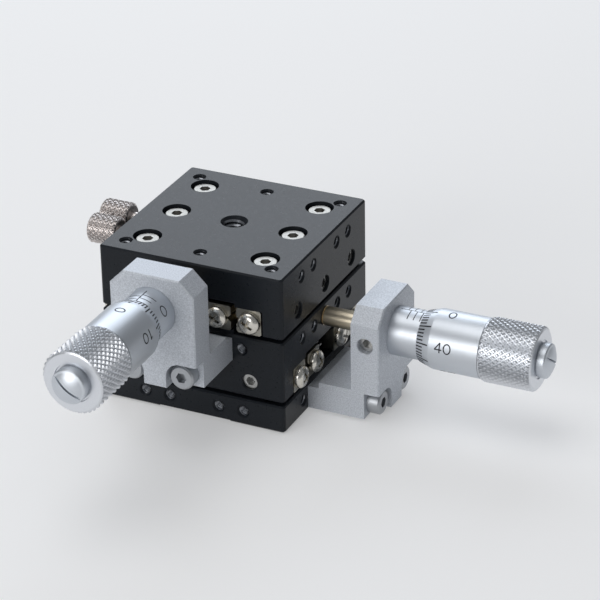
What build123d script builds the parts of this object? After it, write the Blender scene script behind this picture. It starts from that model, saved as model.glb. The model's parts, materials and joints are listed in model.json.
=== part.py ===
from build123d import *
import os

# Two-axis (XY) crossed-roller translation stage with two micrometer heads.
#
# Frame: millimetres, +Z up, origin at the centre of the base plate's underside.
# The lower slide moves the middle plate along X; its micrometer stands out on +X.
# The upper slide moves the top plate along Y; its micrometer stands out on -Y.
# Pieces of the lower slide are named x_..., pieces of the upper slide y_...

os.makedirs("parts", exist_ok=True)

# ---- Plates ----
plate_side = 30.0
plate_corner = 0.6
plate_edge = 0.25
base_height = 4.4
plate_height = 9.9
plate_gap = 0.6
stage_pitch = plate_height + plate_gap
face = plate_side / 2
half_travel = 2.5
relief_width = 12.0
relief_depth = 0.3
table_top = base_height + 2 * stage_pitch

# ---- Crossed-roller slide, seen along its travel ----
roller_line = 7.1
roller_diameter = 1.5
roller_length = 1.4
roller_pitch = 3.0
roller_count = 8
groove_slack = 0.02
groove_relief = 0.3
rail_gap = 0.9
rail_width = 4.0
rail_height = 4.0
rail_edge = 0.25
land_height = 0.7
land_half_width = 6.9
rail_floor = base_height + land_height
rail_top = rail_floor + rail_height
rail_middle = rail_floor + rail_height / 2
rail_screw_offset = 2.65
inner_screw_line = roller_line - rail_screw_offset
outer_screw_line = roller_line + rail_screw_offset
channel_wall = roller_line + rail_gap / 2 + rail_width
channel_slack = 0.25
channel_roof = rail_top + 0.6
channel_roof_half_width = 7.3
cage_thickness = 0.4
cage_height = 3.1
cage_window = (1.65, 2.4)
cage_end_margin = 1.5
cage_length = (roller_count - 1) * roller_pitch + 2 * cage_end_margin

# ---- Fasteners: radii, heads and holes ----
fit_slack = 0.04
socket_key = 1.5
m16_radius = 0.8
m16_head_radius = 1.5
m16_head_height = 1.6
m16_counterbore_depth = m16_head_height + 0.1
m2_radius = 1.0
m2_clearance_radius = 1.2
m2_tap_radius = 0.8
m2_mouth_radius = 1.05
m2_head_radius = 1.9
m2_head_height = 2.0
m2_counterbore_radius = 2.2
m2_counterbore_depth = m2_head_height + 0.1
m25_radius = 1.25
m25_mouth_radius = 1.35
m25_key = 1.3
m4_tap_radius = 1.65
m4_mouth_radius = 2.1
pan_head_radius = 1.75
pan_head_height = 1.3
socket_depth = 1.0
rail_screw_spots = (-9.4, 0.0, 9.4)
inner_rail_screw_length = 4.5
outer_rail_screw_grip = 3.4
end_screw_length = 3.0
preload_height = 7.5
preload_length = 3.0
row_spots = (-8.2, -4.1, 4.1, 8.2)
row_height = 2.25
row_depth = 2.6
top_row_height = 23.0
corner_hole_spacing = 24.0
mid_hole_spacing = 22.5
tapped_depth = 4.5
table_head_sink = 0.45
middle_head_sink = 0.15

# ---- Micrometer head, lengths measured from the stage centre along the travel ----
micrometer_height = 12.6
sleeve_radius = 3.75
sleeve_start = 22.1
sleeve_end = 40.9
nut_start = 27.9
spindle_radius = 1.5
thread_radius = 1.9
thread_start = 33.0
running_slack = 0.025
thimble_front = 31.3
thimble_lip = 0.12
bevel_end = 33.45
thimble_radius = 4.6
knurl_start = 41.35
knurl_radius = 4.9
thimble_end = 49.5
end_wall = 3.0
wall_start = thimble_end - end_wall
neck_radius = 1.65
button_radius = 2.65
button_end = 51.6
button_bore_end = thimble_end + 1.2
button_face_radius = 2.3
button_crown = 0.3
button_slot_width = 0.35
button_slot_depth = 0.5
button_slot_turn = -37.5
contact_pin_length = 2.3
turned_edge = 0.35

# ---- Micrometer bracket ----
bracket_width = 13.5
bracket_corner = 2.25
bracket_edge = 0.2
foot_bottom = 0.25
foot_step_height = 3.9
foot_step_end = 16.8
foot_height = 4.85
upright_back = 22.1
upright_front = 26.6
bracket_top = 18.15
notch_depth = 2.4
notch_radius = 2.3
bracket_screw_spacing = 8.2
bracket_screw_grip = 3.4
clamp_length = 2.0

# ---- Lock: slotted plate and two thumb screws ----
lock_width = 21.0
lock_bottom = 0.4
lock_top = 12.75
lock_thickness = 1.65
lock_relief = 0.15
lock_corner = 1.5
lock_screw_spacing = 16.5
lock_screw_grip = 2.6
slot_height = 10.7
slot_radius = 1.2
thumb_spacing = 5.25
thumb_radius = 1.0
thumb_grip = 2.6
knob_radius = 2.35
knob_length = 4.9
knob_starts = (3.95, 3.2)
knob_front_bevel = 0.6

# ---- Return spring between two posts, in the middle of the slide ----
spring_height = 7.35
spring_post_offset = 13.1
spring_post_radius = 0.5
spring_post_sink = 1.5
spring_post_reach = 0.9
spring_radius = 1.1
spring_wire = 0.22
spring_body_half = 9.75
spring_ring_radius = 0.8

up = Vector(0, 0, 1)


class Slide:
    """One slide: its travel direction towards the micrometer, its lift and its preload side."""

    def __init__(self, name, along, preload_side, lift):
        self.name = name
        self.along = along
        self.preload_side = preload_side
        self.lift = lift
        self.base_centre = Vector(0, 0, lift)
        # end: x across the slide, y up, z along the travel
        self.end = Plane(origin=self.base_centre, x_dir=up.cross(along), z_dir=along)
        # profile: x along the travel, y up
        self.profile = Plane(origin=self.base_centre, x_dir=along, z_dir=along.cross(up))
        self.level = Plane(origin=self.base_centre, x_dir=along, z_dir=up)
        self.direction = Axis(self.base_centre, along)
        self.preload_normal = up.cross(along) * preload_side

    def side_face(self, outward):
        """A plate face: x level, y up from this slide's base, z outward."""
        return Plane(
            origin=self.base_centre + outward * face,
            x_dir=up.cross(outward),
            z_dir=outward,
        )


lower = Slide("x", Vector(1, 0, 0), -1, 0.0)
upper = Slide("y", Vector(0, -1, 0), 1, stage_pitch)
slides = (lower, upper)


def keep(piece, name):
    """Label a finished piece and write its STEP file."""
    piece.part.label = name
    export_step(piece.part, f"parts/{name}.step")


def seat(plane, across, height, lift_off=0.0):
    """A plane parallel to the given one, with its origin at a spot on it."""
    return Plane(
        origin=plane.from_local_coords(Vector(across, height, lift_off)),
        x_dir=plane.x_dir,
        z_dir=plane.z_dir,
    )


def turn(base, outline):
    """Add a turned body: outline points are (height along the base plane's normal, radius)."""
    lathe = Plane(origin=base.origin, x_dir=base.z_dir, z_dir=base.x_dir)
    with BuildSketch(lathe) as section:
        with BuildLine():
            Polyline(*outline, close=True)
        make_face()
    revolve(section.sketch, axis=Axis(base.origin, base.z_dir))


def add_socket_screw(
    base, length, radius=m2_radius, head_radius=m2_head_radius, head_height=m2_head_height
):
    """Socket cap screw whose head stands on the base plane and whose shank goes into it."""
    bevel = 0.25
    turn(
        base,
        (
            (-length, 0),
            (-length, radius),
            (0, radius),
            (0, head_radius),
            (head_height - bevel, head_radius),
            (head_height, head_radius - bevel),
            (head_height, 0),
        ),
    )
    cut_hexagon(base.offset(head_height), socket_key)


def cut_hexagon(base, key):
    """Hexagon socket, cut down into a screw from the base plane."""
    with BuildSketch(base) as socket:
        RegularPolygon(key / 2, 6, major_radius=False)
    extrude(socket.sketch, amount=-socket_depth, mode=Mode.SUBTRACT)


def add_set_screw(tip, length):
    """M2.5 set screw with a bevelled tip on the tip plane and a hexagon socket at the other end."""
    bevel = 0.3
    turn(
        tip,
        (
            (0, 0),
            (0, m25_radius - bevel),
            (bevel, m25_radius - fit_slack),
            (length, m25_radius - fit_slack),
            (length, 0),
        ),
    )
    cut_hexagon(tip.offset(length), m25_key)


def add_pan_screw(base, length):
    """M2 pan head cross-recess screw whose head stands on the base plane."""
    turn(
        base,
        (
            (-length, 0),
            (-length, m2_radius),
            (0, m2_radius),
            (0, pan_head_radius),
            (0.4 * pan_head_height, pan_head_radius),
            (0.8 * pan_head_height, 0.86 * pan_head_radius),
            (pan_head_height, 0.6 * pan_head_radius),
            (pan_head_height, 0),
        ),
    )
    slot_width = 0.24 * pan_head_radius
    with BuildSketch(base.offset(pan_head_height)) as cross:
        Rectangle(pan_head_radius, slot_width)
        Rectangle(slot_width, pan_head_radius)
    extrude(cross.sketch, amount=-0.55 * pan_head_height, mode=Mode.SUBTRACT)


def drill(plane, spots, radius, depth):
    """Plain blind holes square to a plane."""
    with Locations(plane):
        with Locations(*spots):
            Hole(radius=radius, depth=depth)


def tap(plane, spots, depth, radius=m2_tap_radius, mouth=m2_mouth_radius):
    """Tapped holes at tap-drill size, with a lead-in chamfer."""
    with Locations(plane):
        with Locations(*spots):
            CounterSinkHole(radius=radius, counter_sink_radius=mouth, depth=depth)


def counterbore(plane, spots, radius, head_radius, head_depth, depth):
    """Counterbored screw holes square to a plane."""
    with Locations(plane):
        with Locations(*spots):
            CounterBoreHole(
                radius=radius,
                counter_bore_radius=head_radius,
                counter_bore_depth=head_depth,
                depth=depth,
            )


def rail_screw_places(screw_line):
    """Spots on a slide's level plane: three screws along each of the two rails."""
    return [(along, side * screw_line) for side in (-1, 1) for along in rail_screw_spots]


def plate_block(bottom, height):
    """Square plate with rounded upright corners and broken edges."""
    with BuildSketch(Plane.XY.offset(bottom)) as outline:
        RectangleRounded(plate_side, plate_side, plate_corner)
    extrude(outline.sketch, amount=height)
    chamfer(edges().filter_by(Axis.Z, reverse=True), plate_edge)


def add_bed(slide):
    """Top of a fixed plate: land, and holes for the inner rails, post, bracket and lock plate."""
    with BuildSketch(slide.end.offset(-face + plate_edge)) as land_end:
        with Locations((0, base_height + land_height / 2)):
            Rectangle(2 * land_half_width, land_height)
    extrude(land_end.sketch, amount=plate_side - 2 * plate_edge)
    land = slide.level.offset(rail_floor)
    screw_depth = inner_rail_screw_length - (rail_height - m16_counterbore_depth)
    drill(land, rail_screw_places(inner_screw_line), m16_radius + fit_slack, screw_depth + 0.3)
    drill(land, [(spring_post_offset, 0)], spring_post_radius + fit_slack / 2, spring_post_sink)
    nose = slide.side_face(slide.along)
    screws = [(side * bracket_screw_spacing / 2, row_height) for side in (-1, 1)]
    drill(nose, screws, m2_radius + fit_slack, bracket_screw_grip + 0.3)
    tap(nose, [(side * row_spots[-1], row_height) for side in (-1, 1)], row_depth)
    lock_face = slide.side_face(-slide.preload_normal)
    screws = [(side * lock_screw_spacing / 2, row_height) for side in (-1, 1)]
    drill(lock_face, screws, m2_radius + fit_slack, lock_screw_grip + 0.3)


def add_carriage(slide, head_sink, cover):
    """Underside of a moving plate: rail channel, preload holes, contact pin and lock holes.

    cover is the height of the land above the plate's own top, which the screw heads go through.
    """
    bottom = base_height + plate_gap
    width = 2 * channel_wall + channel_slack
    with BuildSketch(slide.end.offset(-face)) as channel:
        with Locations((slide.preload_side * channel_slack / 2, (bottom + rail_top) / 2 - 0.5)):
            Rectangle(width, rail_top - bottom + 1.0)
        with Locations((0, (bottom + channel_roof) / 2)):
            Rectangle(2 * channel_roof_half_width, channel_roof - bottom)
    extrude(channel.sketch, amount=plate_side, mode=Mode.SUBTRACT)
    counterbore(
        slide.level.offset(bottom + plate_height + cover),
        rail_screw_places(outer_screw_line),
        m2_radius + fit_slack,
        m2_counterbore_radius,
        m2_head_height + head_sink + cover,
        plate_height + cover,
    )
    flank = slide.side_face(slide.preload_normal)
    preload_spots = [(spot, preload_height) for spot in rail_screw_spots]
    tap(flank, preload_spots, face - channel_wall, m25_radius, m25_mouth_radius)
    nose = slide.side_face(slide.along)
    drill(nose, [(0, micrometer_height)], spindle_radius + fit_slack / 2, contact_pin_length)
    lock_face = slide.side_face(-slide.preload_normal)
    thumb_spots = [(side * thumb_spacing / 2, slot_height) for side in (-1, 1)]
    drill(lock_face, thumb_spots, thumb_radius + fit_slack, thumb_grip + 0.2)
    roof = Plane(origin=slide.base_centre + up * channel_roof, x_dir=slide.along, z_dir=-up)
    drill(roof, [(-spring_post_offset, 0)], spring_post_radius + fit_slack / 2, spring_post_sink)


# ---- Base plate: fixed plate of the lower slide ----
with BuildPart() as base_plate:
    plate_block(0, base_height)
    add_bed(lower)
    row = [(spot, row_height) for spot in row_spots]
    tap(lower.side_face(lower.preload_normal), row, row_depth)
    with BuildSketch(Plane.XY):
        Rectangle(relief_width, plate_side)
    extrude(amount=relief_depth, mode=Mode.SUBTRACT)
    with Locations(Plane.XY.offset(base_height)):
        with GridLocations(corner_hole_spacing, corner_hole_spacing, 2, 2):
            CounterBoreHole(
                radius=m2_clearance_radius,
                counter_bore_radius=m2_counterbore_radius,
                counter_bore_depth=m2_counterbore_depth,
                depth=base_height,
            )
keep(base_plate, "base_plate")

# ---- Middle plate: moving plate of the lower slide and fixed plate of the upper one ----
with BuildPart() as middle_plate:
    plate_block(base_height + plate_gap, plate_height)
    add_bed(upper)
    add_carriage(lower, middle_head_sink, land_height)
    row = [(spot, row_height + stage_pitch) for spot in row_spots]
    tap(lower.side_face(lower.along), row, row_depth)
keep(middle_plate, "middle_plate")

# ---- Top plate: the table that carries the load ----
with BuildPart() as top_plate:
    plate_block(table_top - plate_height, plate_height)
    add_carriage(upper, table_head_sink, 0)
    row = [(spot, top_row_height) for spot in row_spots]
    tap(lower.side_face(lower.along), row, row_depth)
    table = Plane.XY.offset(table_top)
    half_corner = corner_hole_spacing / 2
    corners = [(x, y) for x in (-half_corner, half_corner) for y in (-half_corner, half_corner)]
    tap(table, corners, tapped_depth)
    tap(table, [(0, -mid_hole_spacing / 2), (0, mid_hole_spacing / 2)], tapped_depth)
    tap(table, [(0, 0)], plate_height, m4_tap_radius, m4_mouth_radius)
keep(top_plate, "top_plate")


def build_rail(slide, side, toward, holes):
    """One hardened rail: V groove with a relief slot, facing its partner across the rollers.

    toward is -1 for an inner rail, which lies on the centre's side of the rollers, and 1 for
    an outer one. holes drills the rail once its section stands.
    """
    centre = side * (roller_line + toward * (rail_gap + rail_width) / 2)
    with BuildPart() as rail:
        with BuildSketch(slide.end.offset(-face)) as section:
            with Locations((centre, rail_middle)):
                Rectangle(rail_width, rail_height)
            chamfer(section.vertices(), rail_edge)
            with Locations((side * roller_line, rail_middle)):
                groove = roller_diameter + groove_slack
                Rectangle(groove, groove, rotation=45, mode=Mode.SUBTRACT)
                reach = groove * 2**0.5 + groove_relief
                Rectangle(reach, groove_relief, mode=Mode.SUBTRACT)
        extrude(amount=plate_side)
        screw_line = side * (roller_line + toward * rail_screw_offset)
        holes(slide, screw_line)
        for outward in (slide.along, -slide.along):
            end_face = slide.side_face(outward)
            across = screw_line if outward == slide.along else -screw_line
            drill(end_face, [(across, rail_middle)], m2_radius + fit_slack, end_screw_length + 0.2)
    return rail


def inner_rail_holes(slide, screw_line):
    """Counterbored from the top, so that the rail can be screwed down onto its land."""
    spots = [(spot, screw_line) for spot in rail_screw_spots]
    counterbore(
        slide.level.offset(rail_top),
        spots,
        m16_radius + fit_slack,
        m16_head_radius + fit_slack,
        m16_counterbore_depth,
        rail_height,
    )


def outer_rail_holes(slide, screw_line):
    """Tapped from the top, for screws that come down through the moving plate."""
    spots = [(spot, screw_line) for spot in rail_screw_spots]
    drill(slide.level.offset(rail_top), spots, m2_radius + fit_slack, rail_height)


def side_name(slide, side):
    """The side of a rail as a word: front and back for the X slide, left and right for Y."""
    words = ("front", "back") if slide is lower else ("left", "right")
    return words[0] if side < 0 else words[1]


roller_offsets = [(i - (roller_count - 1) / 2) * roller_pitch for i in range(roller_count)]

for slide in slides:
    for side in (-1, 1):
        word = side_name(slide, side)
        inner_rail = build_rail(slide, side, -1, inner_rail_holes)
        keep(inner_rail, f"{slide.name}_inner_rail_{word}")
        outer_rail = build_rail(slide, side, 1, outer_rail_holes)
        keep(outer_rail, f"{slide.name}_outer_rail_{word}")

        # Roller cage: a strip in the gap between the rails, with one window for each roller
        flat = Plane(
            origin=slide.end.from_local_coords(Vector(side * roller_line, rail_middle, 0)),
            x_dir=slide.along,
            z_dir=slide.end.x_dir,
        )
        with BuildPart() as cage:
            with BuildSketch(flat):
                Rectangle(cage_length, cage_height)
                with GridLocations(roller_pitch, 1, roller_count, 1):
                    Rectangle(*cage_window, mode=Mode.SUBTRACT)
            extrude(amount=cage_thickness / 2, both=True)
        keep(cage, f"{slide.name}_cage_{word}")

        # Crossed rollers: each lies at 45 degrees to the strip, at 90 degrees to the next one
        with BuildPart() as rollers:
            for index, offset_along in enumerate(roller_offsets):
                lean = 1 if index % 2 else -1
                spot = slide.end.from_local_coords(
                    Vector(side * roller_line, rail_middle, offset_along)
                )
                spin = slide.end.x_dir * lean + up
                with BuildSketch(Plane(origin=spot, x_dir=slide.along, z_dir=spin)):
                    Circle(roller_diameter / 2)
                extrude(amount=roller_length / 2, both=True)
        keep(rollers, f"{slide.name}_rollers_{word}")

    # Screws that hold the inner rails down on the fixed plate
    with BuildPart() as inner_rail_screws:
        for spot in rail_screw_places(inner_screw_line):
            add_socket_screw(
                seat(slide.level, *spot, rail_top - m16_counterbore_depth),
                inner_rail_screw_length,
                m16_radius,
                m16_head_radius,
                m16_head_height,
            )
    keep(inner_rail_screws, f"{slide.name}_inner_rail_screws")

    # Screws that hold the outer rails up against the moving plate
    head_sink = middle_head_sink if slide is lower else table_head_sink
    head_floor = base_height + stage_pitch - head_sink - m2_head_height
    shank = head_floor - rail_top + outer_rail_screw_grip
    with BuildPart() as outer_rail_screws:
        for spot in rail_screw_places(outer_screw_line):
            add_socket_screw(seat(slide.level, *spot, head_floor), shank)
    keep(outer_rail_screws, f"{slide.name}_outer_rail_screws")

    # End screws: their heads cover the grooves' ends and stop the cages
    for screw_line, rail_word in ((inner_screw_line, "inner"), (outer_screw_line, "outer")):
        with BuildPart() as end_screws:
            for outward in (slide.along, -slide.along):
                for side in (-1, 1):
                    head_seat = seat(slide.side_face(outward), side * screw_line, rail_middle)
                    add_pan_screw(head_seat, end_screw_length)
        keep(end_screws, f"{slide.name}_{rail_word}_end_screws")

    # Preload set screws, which push one outer rail towards the rollers
    with BuildPart() as preload_screws:
        for spot in rail_screw_spots:
            flank = slide.side_face(slide.preload_normal)
            add_set_screw(seat(flank, spot, preload_height, channel_wall - face), preload_length)
    keep(preload_screws, f"{slide.name}_preload_screws")

    # Micrometer bracket: foot on the fixed plate, upright bored for the sleeve
    nose = slide.side_face(slide.along)
    bracket_front = slide.end.offset(upright_front)
    screw_half = bracket_screw_spacing / 2
    with BuildPart() as bracket:
        with BuildSketch(slide.profile):
            with BuildLine():
                Polyline(
                    (face, foot_bottom),
                    (face, foot_step_height),
                    (foot_step_end, foot_step_height),
                    (foot_step_end, foot_height),
                    (upright_back, foot_height),
                    (upright_back, bracket_top),
                    (upright_front, bracket_top),
                    (upright_front, foot_bottom),
                    close=True,
                )
            make_face()
        extrude(amount=bracket_width / 2, both=True)
        along_edges = edges().filter_by(slide.direction)
        chamfer(along_edges.group_by(Axis.Z)[-1], bracket_corner)
        chamfer(faces().sort_by(slide.direction)[-1].edges(), bracket_edge)
        with BuildSketch(bracket_front):
            with Locations((0, micrometer_height)):
                Circle(sleeve_radius + fit_slack / 2)
        extrude(amount=upright_back - upright_front, mode=Mode.SUBTRACT)
        with BuildSketch(bracket_front):
            for side in (-1, 1):
                inside = side * (screw_half - notch_radius)
                outside = side * (bracket_width / 2 + 1)
                with Locations((side * screw_half, row_height)):
                    Circle(notch_radius)
                with Locations(((side * screw_half + outside) / 2, row_height)):
                    Rectangle(abs(outside) - screw_half, 2 * notch_radius)
                with Locations(((inside + outside) / 2, row_height / 2 - 0.5)):
                    Rectangle(abs(outside - inside), row_height + 1)
        extrude(amount=-notch_depth, mode=Mode.SUBTRACT)
        with BuildSketch(bracket_front.offset(-notch_depth)):
            with Locations((-screw_half, row_height), (screw_half, row_height)):
                Circle(m2_clearance_radius)
        extrude(amount=face - upright_front + notch_depth, mode=Mode.SUBTRACT)
        clamp_side = Plane(
            origin=slide.end.from_local_coords(
                Vector(-bracket_width / 2, micrometer_height, 0)
            ),
            x_dir=slide.along,
            z_dir=-slide.end.x_dir,
        )
        clamp_spot = ((upright_back + upright_front) / 2, 0)
        clamp_depth = bracket_width / 2 - sleeve_radius
        tap(clamp_side, [clamp_spot], clamp_depth, m25_radius, m25_mouth_radius)
    keep(bracket, f"{slide.name}_bracket")

    # Set screw that clamps the sleeve in the bracket
    with BuildPart() as clamp_screw:
        add_set_screw(seat(clamp_side, *clamp_spot, -clamp_depth), clamp_length)
    keep(clamp_screw, f"{slide.name}_clamp_screw")

    # Screws that hold the bracket on the fixed plate, heads in the notches
    with BuildPart() as bracket_screws:
        for side in (-1, 1):
            head_seat = seat(bracket_front, side * screw_half, row_height, -notch_depth)
            shank = upright_front - notch_depth - face + bracket_screw_grip
            add_socket_screw(head_seat, shank)
    keep(bracket_screws, f"{slide.name}_bracket_screws")

    # Micrometer sleeve, with the spindle's guide bore and then its nut
    micrometer_axis = seat(slide.end, 0, micrometer_height)
    with BuildPart() as sleeve:
        turn(
            micrometer_axis,
            (
                (sleeve_start, spindle_radius + running_slack),
                (sleeve_start, sleeve_radius - 0.2),
                (sleeve_start + 0.2, sleeve_radius),
                (sleeve_end - 0.2, sleeve_radius),
                (sleeve_end, sleeve_radius - 0.2),
                (sleeve_end, thread_radius + running_slack),
                (nut_start, thread_radius + running_slack),
                (nut_start, spindle_radius + running_slack),
            ),
        )
    keep(sleeve, f"{slide.name}_sleeve")

    # Spindle: lapped guide, screw and the neck that the thimble and the end button sit on
    with BuildPart() as spindle:
        turn(
            micrometer_axis,
            (
                (face, 0),
                (face, spindle_radius - 0.2),
                (face + 0.2, spindle_radius),
                (thread_start, spindle_radius),
                (thread_start + turned_edge, thread_radius),
                (wall_start, thread_radius),
                (wall_start, neck_radius),
                (button_bore_end, neck_radius),
                (button_bore_end, 0),
            ),
        )
    keep(spindle, f"{slide.name}_spindle")

    # Thimble: bevelled front edge, smooth barrel and raised grip
    thimble_bore = sleeve_radius + 0.05
    with BuildPart() as thimble:
        turn(
            micrometer_axis,
            (
                (thimble_front, thimble_bore),
                (thimble_front, thimble_bore + thimble_lip),
                (bevel_end, thimble_radius),
                (knurl_start - 0.2, thimble_radius),
                (knurl_start, knurl_radius),
                (thimble_end - turned_edge, knurl_radius),
                (thimble_end, knurl_radius - turned_edge),
                (thimble_end, neck_radius + fit_slack / 2),
                (wall_start, neck_radius + fit_slack / 2),
                (wall_start, thimble_bore),
            ),
        )
    keep(thimble, f"{slide.name}_thimble")

    # End button, screwed over the spindle's neck: crowned end face with a driver slot
    crown_steps = 4
    crown = [
        (button_end - button_crown * (step / crown_steps) ** 2, button_face_radius * step / crown_steps)
        for step in range(crown_steps, -1, -1)
    ]
    with BuildPart() as end_button:
        turn(
            micrometer_axis,
            [
                (button_bore_end, 0),
                (button_bore_end, neck_radius + fit_slack / 2),
                (thimble_end, neck_radius + fit_slack / 2),
                (thimble_end, button_radius),
                (button_end - button_crown - 0.2, button_radius),
            ]
            + crown,
        )
        with BuildSketch(micrometer_axis.offset(button_end)):
            Rectangle(2 * button_radius, button_slot_width, rotation=button_slot_turn)
        extrude(amount=-button_slot_depth, mode=Mode.SUBTRACT)
    keep(end_button, f"{slide.name}_end_button")

    # Hardened pin in the moving plate, which the spindle pushes on
    with BuildPart() as contact_pin:
        with BuildSketch(seat(nose, 0, micrometer_height)):
            Circle(spindle_radius)
        extrude(amount=-contact_pin_length)
    keep(contact_pin, f"{slide.name}_contact_pin")

    # Lock plate on the fixed plate, with a slot that the thumb screws travel in
    lock_face = slide.side_face(-slide.preload_normal)
    slot_length = thumb_spacing + 2 * half_travel + 2 * slot_radius
    with BuildPart() as lock_plate:
        with BuildSketch(lock_face):
            with Locations((0, (lock_bottom + lock_top) / 2)):
                RectangleRounded(lock_width, lock_top - lock_bottom, lock_corner)
        extrude(amount=lock_thickness)
        with BuildSketch(lock_face):
            relief_bottom = base_height + plate_gap / 2
            with Locations((0, (relief_bottom + lock_top) / 2 + 0.5)):
                Rectangle(lock_width, lock_top - relief_bottom + 1)
        extrude(amount=lock_relief, mode=Mode.SUBTRACT)
        with BuildSketch(lock_face):
            with Locations((0, slot_height)):
                SlotOverall(slot_length, 2 * slot_radius)
        extrude(amount=lock_thickness, mode=Mode.SUBTRACT)
        screws = [(side * lock_screw_spacing / 2, row_height) for side in (-1, 1)]
        drill(lock_face.offset(lock_thickness), screws, m2_radius + fit_slack, lock_thickness)
    keep(lock_plate, f"{slide.name}_lock_plate")

    with BuildPart() as lock_plate_screws:
        for spot in screws:
            head_seat = seat(lock_face, *spot, lock_thickness)
            add_pan_screw(head_seat, lock_thickness + lock_screw_grip)
    keep(lock_plate_screws, f"{slide.name}_lock_plate_screws")

    # Two thumb screws, each in its own node because each is turned on its own
    for side, knob_start in zip((-1, 1), knob_starts):
        with BuildPart() as thumb_screw:
            turn(
                seat(lock_face, side * thumb_spacing / 2, slot_height),
                (
                    (-thumb_grip, 0),
                    (-thumb_grip, thumb_radius),
                    (knob_start, thumb_radius),
                    (knob_start, knob_radius - knob_front_bevel),
                    (knob_start + knob_front_bevel, knob_radius),
                    (knob_start + knob_length - turned_edge, knob_radius),
                    (knob_start + knob_length, knob_radius - turned_edge),
                    (knob_start + knob_length, 0),
                ),
            )
        thumb_word = "a" if side < 0 else "b"
        keep(thumb_screw, f"{slide.name}_thumb_screw_{thumb_word}")

    # Posts and tension spring: the spring pulls the moving plate against the spindle
    post_top = spring_height + spring_post_reach
    with BuildPart() as fixed_post:
        with BuildSketch(seat(slide.level, spring_post_offset, 0, rail_floor - spring_post_sink)):
            Circle(spring_post_radius)
        extrude(amount=post_top - rail_floor + spring_post_sink)
    keep(fixed_post, f"{slide.name}_spring_post_fixed")

    with BuildPart() as moving_post:
        post_foot = spring_height - spring_post_reach
        with BuildSketch(seat(slide.level, -spring_post_offset, 0, post_foot)):
            Circle(spring_post_radius)
        extrude(amount=channel_roof + spring_post_sink - post_foot)
    keep(moving_post, f"{slide.name}_spring_post_moving")

    spring_axis = seat(slide.end, 0, spring_height)
    with BuildPart() as spring:
        bore = spring_radius - 2 * spring_wire
        turn(
            spring_axis,
            (
                (-spring_body_half, 0),
                (-spring_body_half, spring_radius),
                (spring_body_half, spring_radius),
                (spring_body_half, 0),
                (spring_body_half - 2 * spring_wire, 0),
                (spring_body_half - 2 * spring_wire, bore),
                (2 * spring_wire - spring_body_half, bore),
                (2 * spring_wire - spring_body_half, 0),
            ),
        )
        for end in (-1, 1):
            with BuildSketch(spring_axis.offset(end * (spring_body_half - spring_wire))):
                Circle(spring_wire)
            reach = spring_post_offset - spring_ring_radius - spring_body_half + spring_wire
            extrude(amount=end * reach)
            post = seat(slide.level, end * spring_post_offset, 0, spring_height)
            with BuildSketch(Plane(origin=post.origin, x_dir=slide.along, z_dir=slide.end.x_dir)):
                with Locations((spring_ring_radius, 0)):
                    Circle(spring_wire)
            revolve(axis=Axis(post.origin, up))
    keep(spring, f"{slide.name}_spring")
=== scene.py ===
import json
import math

import bpy
from mathutils import Matrix, Vector


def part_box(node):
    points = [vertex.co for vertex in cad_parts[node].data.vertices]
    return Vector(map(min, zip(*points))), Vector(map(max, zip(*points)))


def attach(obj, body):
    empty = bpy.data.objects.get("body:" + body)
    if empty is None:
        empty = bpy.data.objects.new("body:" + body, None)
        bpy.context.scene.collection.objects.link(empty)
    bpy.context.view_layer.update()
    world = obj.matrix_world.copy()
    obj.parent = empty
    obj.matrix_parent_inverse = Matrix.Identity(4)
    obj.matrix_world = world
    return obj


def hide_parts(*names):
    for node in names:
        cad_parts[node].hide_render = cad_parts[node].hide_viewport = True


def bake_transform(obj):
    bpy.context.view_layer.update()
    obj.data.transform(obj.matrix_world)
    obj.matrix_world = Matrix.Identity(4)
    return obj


# Looks of a two-axis crossed-roller stage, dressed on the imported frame.
# Pieces are shaped in millimetres and scaled to metres as their mesh is made.
# Turned pieces are shaped along +X, as the lower slide's micrometer lies, and then placed.

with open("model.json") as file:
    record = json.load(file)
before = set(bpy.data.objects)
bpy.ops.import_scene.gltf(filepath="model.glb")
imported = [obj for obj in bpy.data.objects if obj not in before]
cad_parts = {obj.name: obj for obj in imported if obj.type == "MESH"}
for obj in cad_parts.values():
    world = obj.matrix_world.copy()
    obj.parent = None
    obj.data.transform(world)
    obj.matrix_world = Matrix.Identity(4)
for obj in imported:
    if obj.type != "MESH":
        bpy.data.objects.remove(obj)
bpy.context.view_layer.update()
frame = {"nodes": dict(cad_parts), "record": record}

MM = 0.001


def span(node):
    """Lowest and highest corner of a CAD node, in millimetres."""
    lo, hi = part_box(node)
    return lo / MM, hi / MM


# ---- Sizes taken from the frame, in millimetres ----
FACE = span("base_plate")[1].x
PITCH = span("y_bracket")[0].z - span("x_bracket")[0].z
AXIS_HEIGHT = (span("x_thimble")[0].z + span("x_thimble")[1].z) / 2
THIMBLE_FRONT = span("x_thimble")[0].x
THIMBLE_END = span("x_thimble")[1].x
GRIP_RADIUS = span("x_thimble")[1].y
SLEEVE_RADIUS = span("x_sleeve")[1].y
BUTTON_RADIUS = span("x_end_button")[1].y
BUTTON_END = span("x_end_button")[1].x
RAIL_MIDDLE = (span("x_inner_rail_back")[0].z + span("x_inner_rail_back")[1].z) / 2
PAN_HEAD_RADIUS = (span("x_inner_end_screws")[1].z - span("x_inner_end_screws")[0].z) / 2
PAN_HEAD_HEIGHT = span("x_inner_end_screws")[1].x - FACE
INNER_SCREW_LINE = span("x_inner_end_screws")[1].y - PAN_HEAD_RADIUS
OUTER_SCREW_LINE = span("x_outer_end_screws")[1].y - PAN_HEAD_RADIUS
LOCK_OUTSIDE = span("x_lock_plate")[1].y
LOCK_SCREW_SPOT = span("x_lock_plate_screws")[1].x - PAN_HEAD_RADIUS
ROW_HEIGHT = span("x_lock_plate_screws")[1].z - PAN_HEAD_RADIUS
TABLE_TOP = span("top_plate")[1].z
SPRING_HEIGHT = (span("x_spring")[0].z + span("x_spring")[1].z) / 2

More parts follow.
